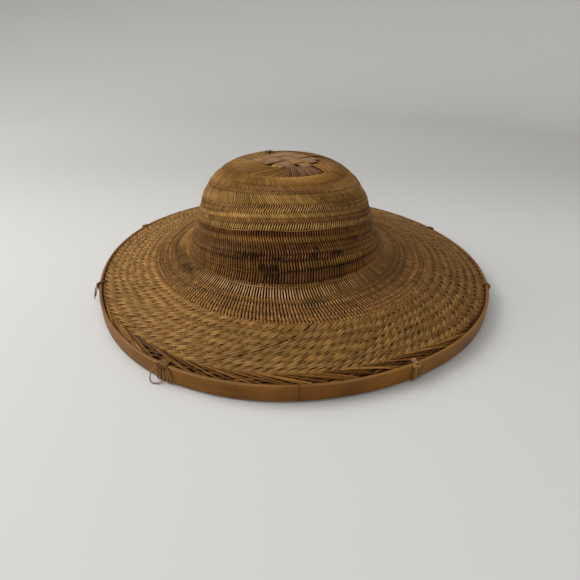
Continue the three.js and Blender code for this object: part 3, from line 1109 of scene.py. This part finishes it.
def windLashing(place, shape, own, material, slot, seed):
    settings = {**shape, **own}
    rng = np.random.default_rng(seed)
    outline, turns, pitch = settings["outline"], settings["turns"], settings["pitch"]
    route = []
    for k in range(turns * len(outline) + 1):
        out, up = outline[k % len(outline)]
        spread = np.interp(up, [2, 16], settings["spread"])
        side = pitch * (k / len(outline) - turns / 2) * spread
        route.append((out + rng.normal(0, 0.06), side + rng.normal(0, 0.12), up))
    thick, shade = settings["radius"], settings["shade"]
    parts = [layStrand("winding", route, thick, shade)]
    sides = points(parts[0])[:, 1] / mm / pitch + turns / 2
    tones = rng.uniform(*settings["toneRange"], turns + 2)
    turnTone = tones[np.clip(np.round(sides).astype(int), 0, turns + 1)]
    paint(parts[0], np.array(linearOf(shade)) * turnTone[:, None])
    half = turns * pitch / 2 * settings["spread"][1] + 0.5
    for level in (0, 1.05):
        up = settings["knot"] - level
        ring = [
            (2.25, -half * 0.55, up + 0.3),
            (2.3, half * 0.5, up - 0.2),
            (1.2, half, up - 0.1),
            (0.5, half * 0.6, up + 0.5),
            (0.4, -half * 0.6, up + 0.7),
            (1.2, -half, up + 0.4),
        ]
        knotShade = settings.get("knotShade", shade)
        parts.append(layStrand("knot", ring, shape["radius"] * 0.9, knotShade, closed=True))
    for strand in settings["loose"]:
        parts.append(layStrand("loose", strand, thick * 0.8, shade))
    pick(*parts)
    bpy.ops.object.join()
    lashing = called("rattan_lashing_" + place)
    axes, origin = hoopAxes(settings["angle"], settings["hoopRadius"])
    lashing.data.transform(Matrix.Translation(origin) @ axes)
    tidyMesh(lashing)
    finishPiece(lashing, material, slot, "lashing_" + place)


# Floor and light
stage = {
    "radius": 1.0,
    "sweep": 0.35,
    "near": "#cfcecb",
    "far": "#b6b5b2",
    "world": {"colour": "#dcdcda", "strength": 0.42},
    "lamps": [
        {"name": "window_left", "place": (-1.6, 0.1, 1.3), "size": 1.4, "power": 34},
        {"name": "ceiling", "place": (-0.3, 0.3, 2.2), "size": 2.0, "power": 14},
        {"name": "front_fill", "place": (-0.1, -2.0, 0.8), "size": 1.6, "power": 12},
    ],
}


def setStage(settings):
    clearSelection()
    bpy.ops.mesh.primitive_circle_add(vertices=96, radius=settings["radius"], fill_type="NGON")
    floor = bpy.context.object
    floor.name = "floor"
    bpy.ops.object.mode_set(mode="EDIT")
    bpy.ops.mesh.select_mode(type="EDGE")
    bpy.ops.mesh.select_all(action="SELECT")
    # The floor's edge sweeps up in a quarter circle.
    radius, sweep = settings["radius"], settings["sweep"]
    turns = [math.radians(15 * k) for k in range(7)]
    for before, turn in zip(turns, turns[1:]):
        wider = (radius + sweep * math.sin(turn)) / (radius + sweep * math.sin(before))
        rise = sweep * (math.cos(before) - math.cos(turn))
        bpy.ops.mesh.extrude_edges_move(TRANSFORM_OT_translate={"value": (0, 0, rise)})
        bpy.ops.transform.resize(value=(wider, wider, 1), center_override=(0, 0, 0))
    bpy.ops.object.mode_set(mode="OBJECT")
    bpy.ops.object.shade_smooth()
    material, tree = newMaterial("pale_studio_floor")
    place = addNode(tree, "TexCoord").outputs["Object"]
    split = addNode(tree, "SeparateXYZ", {0: place})
    mottle = addNode(tree, "TexNoise", {"Vector": place, "Scale": 6, "Detail": 3})
    # A little darker behind the hat, where the paper lies further from the light
    back = addNode(tree, "MapRange", {0: split.outputs["Y"], 1: -0.05, 2: 0.5, 3: 0, 4: 1}, **smooth)
    uneven = addNode(tree, "Math", {0: mottle, 1: 0.06, 2: back}, operation="MULTIPLY_ADD")
    shades = addNode(tree, "ValToRGB", {0: uneven}, [(0, settings["near"]), (1, settings["far"])])
    finishMaterial(tree, {"Base Color": shades, "Roughness": 0.8})
    floor.data.materials.append(material)

    world = bpy.data.worlds.new("soft_room")
    bpy.context.scene.world = world
    world.use_nodes = True
    sky = world.node_tree.nodes["Background"]
    sky.inputs["Color"].default_value = (*linearOf(settings["world"]["colour"]), 1)
    sky.inputs["Strength"].default_value = settings["world"]["strength"]
    for lamp in settings["lamps"]:
        bpy.ops.object.light_add(type="AREA", location=lamp["place"])
        light = bpy.context.object
        light.name = lamp["name"]
        light.data.size = lamp["size"]
        light.data.energy = lamp["power"]
        aim = Vector((0, 0, 0.05)) - Vector(lamp["place"])
        light.rotation_euler = aim.to_track_quat("-Z", "Y").to_euler()
    bpy.context.scene.view_settings.view_transform = "Standard"


# Main
placeCamera(view)
setStage(stage)
print("stage ready")

crownStrand = strandMaterial("scraped_bamboo_fine_weave")
groundStrand = strandMaterial(
    "shaded_bamboo_ground", fibreContrast=0.35, roughness=0.7, bumpDepth=0.4, sheen=0.05, ribbed=True
)
coreStrand = strandMaterial("shaded_bamboo_bundle", fibreContrast=0.35, roughness=0.7, sheen=0.05)
twillStrand = strandMaterial(
    "split_bamboo_twill", fibreContrast=0.42, roughness=0.5, bumpDepth=0.3, fineness=1.6
)

for node, settings in grounds.items():
    layGround(node, settings, groundStrand, node + "_weave")

ribShape = {
    "sides": 5,
    "widthRange": (0.82, 1.12),
    "depth": 1.0,
    "level": -0.85,
    "rise": 0.42,
    "wander": 0.04,
}
upperRibs = {
    **ribShape,
    "count": 156,
    "start": 24,
    "petals": [
        {"from": 20, "reach": 0, "lean": (-12, -30), "pinch": 0.2, "raised": 1.3, "shade": "#7d5726"},
        {"from": 105, "reach": 0.5, "lean": (-20, -34), "pinch": 0.2, "raised": 1.2, "shade": "#83602c"},
        {"from": 165, "reach": 1, "lean": (-28, -50), "pinch": 0.3, "raised": 1.5, "shade": "#86602d"},
        {"from": 228, "reach": 1.6, "lean": (-30, -34), "pinch": 0.1, "raised": 1.2, "shade": "#845b26"},
        {"from": 268, "reach": -1.2, "lean": (0, -8), "pinch": 0.1, "raised": 1.7, "shade": "#7a5434"},
        {"from": 318, "reach": 1.4, "lean": (-6, -26), "pinch": 0.2, "raised": 0.7, "shade": "#83592a"},
    ],
    "depth": 0.95,
    "level": -0.75,
    "rise": 0.4,
    "wander": 0.05,
    "toneSpread": 0.12,
    "batches": 6,
    "batchSpread": 0.05,
    "clump": [0.6, 1.06, 1.16, 0.98],
    "fade": "#8a642f",
    "fadeStrength": 0.75,
    "seed": 21,
    "rows": [
        {
            "to": 51,
            "lean": 0,
            "wide": 0.86,
            "parts": ((0, -0.6), (0.15, 0.2), (0.3, 0.6), (0.45, 0.9), (0.6, 1), (0.75, 0.8), (0.88, 0.3)),
            "shade": "#8a6230",
            "endRise": 0.1,
        },
    ],
}
weaveRibs("upper_crown_ribs", upperRibs, crownStrand, "crown_weave")

longRow = ((0, -0.5), (0.1, 0.45), (0.27, 1), (0.45, 0.5), (0.55, 0.5), (0.73, 1), (0.9, 0.45))
softRow = ((0, -0.2), (0.2, 0.45), (0.5, 1), (0.8, 0.45))
crownRibs = {
    **ribShape,
    "count": 246,
    "start": 49,
    "toneSpread": 0.13,
    "batches": 9,
    "batchSpread": 0.07,
    "seed": 22,
    "fade": "#775428",
    "fadeStrength": 0.65,
    "rows": [
        {"to": 66, "lean": 4.8, "wide": 0.76, "parts": longRow, "shade": "#926830", "fade": "#775325"},
        {"to": 75, "lean": 2.5, "wide": 0.78, "parts": softRow, "shade": "#8d6432", "fade": "#966d35"},
        {"to": 79, "lean": -1.1, "wide": 0.7, "parts": softRow, "shade": "#9a7040", "fade": "#8a642f"},
        {
            "to": 94,
            "lean": 3.4,
            "wide": 0.76,
            "parts": longRow,
            "shade": "#a1773b",
            "fade": "#8b6533",
            "weft": ("#74501f", 0.6),
        },
        {"to": 97.5, "lean": -0.6, "wide": 0.5, "shade": "#be8e54", "weft": ("#8a6230", 0.7)},
        {"to": 103, "lean": -1.0, "wide": 0.5, "shade": "#c69759", "weft": ("#94703a", 0.7)},
        {"to": 108, "lean": 1.6, "wide": 0.78, "shade": "#b48949"},
        {"to": 112, "lean": 0.9, "wide": 0.82, "shade": "#9a6a3a", "weft": ("#7c5629", 0.6)},
        {"to": 117.5, "lean": -0.9, "wide": 0.58, "shade": "#c79a58", "weft": ("#a37e47", 0.7)},
        {"to": 122.5, "lean": 0, "wide": 0.56, "shade": "#7b4e28", "weft": ("#5f3f1e", 0.7)},
        {"to": 127.5, "lean": 0.8, "wide": 0.7, "shade": "#92662f", "weft": ("#62411f", 0.6)},
        {"to": 131.7, "lean": 0.4, "wide": 0.68, "shade": "#724a23", "weft": ("#59391a", 0.7)},
        {"to": 136, "lean": 0.35, "wide": 0.58, "shade": "#8f6438", "weft": ("#33200e", 0.6)},
        {"to": 140, "lean": -0.4, "wide": 0.58, "shade": "#8a5f36", "weft": ("#33200e", 0.6)},
        {"to": 145, "lean": 0.5, "wide": 0.6, "shade": "#90642f", "weft": ("#241608", 0.6)},
        {"to": 149.6, "lean": -0.5, "wide": 0.64, "shade": "#7f562b"},
    ],
}
weaveRibs("crown_ribs", crownRibs, crownStrand, "crown_weave")

brimRibs = {
    **ribShape,
    "count": 280,
    "start": 149.2,
    "toneSpread": 0.14,
    "batches": 11,
    "batchSpread": 0.08,
    "seed": 23,
    "fade": "#795529",
    "fadeStrength": 0.5,
    "rows": [
        {"to": 151.5, "lean": -0.2, "wide": 0.66, "shade": "#86602f", "weft": ("#7a552a", 0.7)},
        {"to": 164, "lean": 0, "wide": 0.56, "shade": "#a07745", "weft": ("#84602f", 0.7)},
        {"to": 168, "lean": 0.3, "wide": 0.74, "shade": "#875f2e", "weft": ("#6f4c27", 0.6)},
        {"to": 173, "lean": 0, "wide": 0.6, "shade": "#996f40", "weft": ("#745230", 0.7)},
        {"to": 180.5, "lean": 0.3, "wide": 0.8, "shade": "#8c6231", "weft": ("#6f4e2a", 0.7)},
        {"to": 184, "lean": 0, "wide": 0.66, "shade": "#946a3c", "weft": ("#74522a", 0.6)},
        {"to": 188, "lean": 0.3, "wide": 0.9, "shade": "#8f6234"},
        {"to": 190.6, "lean": 0.1, "wide": 0.86, "shade": "#86602f"},
    ],
}
weaveRibs("inner_brim_ribs", brimRibs, crownStrand, "inner_brim_weave")
layWefts("crown_wefts", crownRibs, wefts, crownStrand, "crown_weave")
layWefts("inner_brim_wefts", brimRibs, wefts, crownStrand, "inner_brim_weave")
print("ribs ready")

weaveTwill("twill_first_set", twill, 1, twill["overShade"], 31, twillStrand, "outer_brim_weave")
weaveTwill("twill_second_set", twill, -1, twill["underShade"], 32, twillStrand, "outer_brim_weave")
foldBorder(border, twillStrand, "folded_border")
rollCore(borderCore, coreStrand, "folded_border", "edge_border")
print("twill ready")

outerHoop = {
    "radius": 200,
    "thickness": 2.8,
    "bottom": 1.2,
    "top": 15.8,
    "edge": 0.7,
    "steps": 240,
    "uneven": 0.03,
    "seed": 41,
}
innerHoop = {**outerHoop, "radius": 196.8, "thickness": 2.4, "top": 13.8, "edge": 0.5, "seed": 42}
bentBamboo = hoopMaterial(
    "heat_bent_bamboo", "#8b5a13", "#754809", "#593306", "#82633c", outerHoop["top"], -88.6
)
stainedBamboo = hoopMaterial(
    "stained_bent_bamboo", "#5c3214", "#45250c", "#2a1405", "#54301a", innerHoop["top"], -40
)
bendHoop("outer_hoop_bent", outerHoop, bentBamboo, "bent_bamboo", "outer_hoop")
bendHoop("inner_hoop_bent", innerHoop, stainedBamboo, "stained_bamboo", "inner_hoop")
print("hoops ready")

layTopSplints(topSplints, crownStrand, "broad_splints", "top_splints")
rattanSkin = strandMaterial("split_rattan_skin", fibreContrast=0.25, roughness=0.45)
for number, (place, settings) in enumerate(lashings.items()):
    windLashing(place, lashingShape, settings, rattanSkin, "rattan_lashing", lashingShape["seed"] + number)
print("top and lashings ready")
